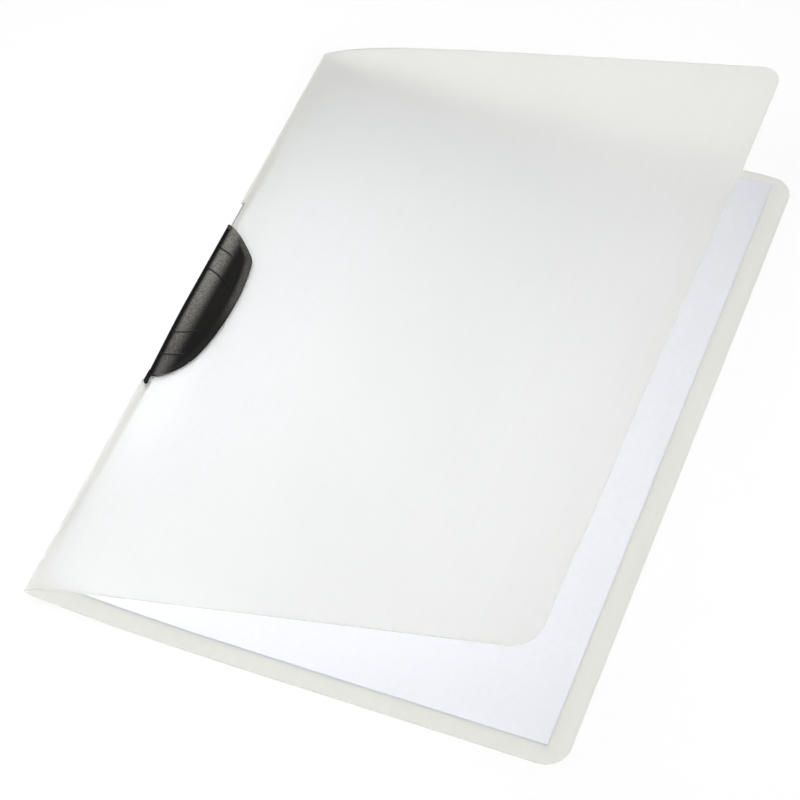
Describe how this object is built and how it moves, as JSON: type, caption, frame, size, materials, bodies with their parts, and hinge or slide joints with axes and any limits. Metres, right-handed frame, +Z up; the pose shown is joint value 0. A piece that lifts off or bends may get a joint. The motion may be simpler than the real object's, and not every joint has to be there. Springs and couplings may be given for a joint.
{
  "type": "clip folder",
  "caption": "A4 document folder of frosted translucent plastic, its covers standing open over a paper stack gripped by a fin-shaped black clip that swings out of the spine.",
  "frame": {"origin": "Centre of the whole folder's box on the table it lies on.", "axes": "+Y along the spine from its bottom end to its top end, +X from the spine to the free edges, +Z up from the back cover to the front cover."},
  "size_m": [0.2234, 0.31, 0.0808],
  "materials": {
    "frosted_sheet": "frosted translucent polypropylene sheet",
    "paper": "uncoated white office paper",
    "black_clip": "fine textured moulded plastic"
  },
  "bodies": {
    "root": {"back_cover_and_spine": "frosted_sheet", "paper_stack": "paper"},
    "front_cover_body": {"front_cover": "frosted_sheet"},
    "clip_body": {"swing_clip": "black_clip"}
  },
  "joints": [
    {"name": "front_cover_hinge", "type": "hinge", "parent": "root", "child": "front_cover_body", "pos_m": [-0.08834, 0, 0.01919], "axis": [0, -1, 0], "range_deg": [-19, 145]},
    {"name": "clip_swing", "type": "hinge", "parent": "root", "child": "clip_body", "pos_m": [-0.10927, -0.0457, 0.0071], "axis": [0, 0, 1], "range_deg": [0, 110]}
  ]
}
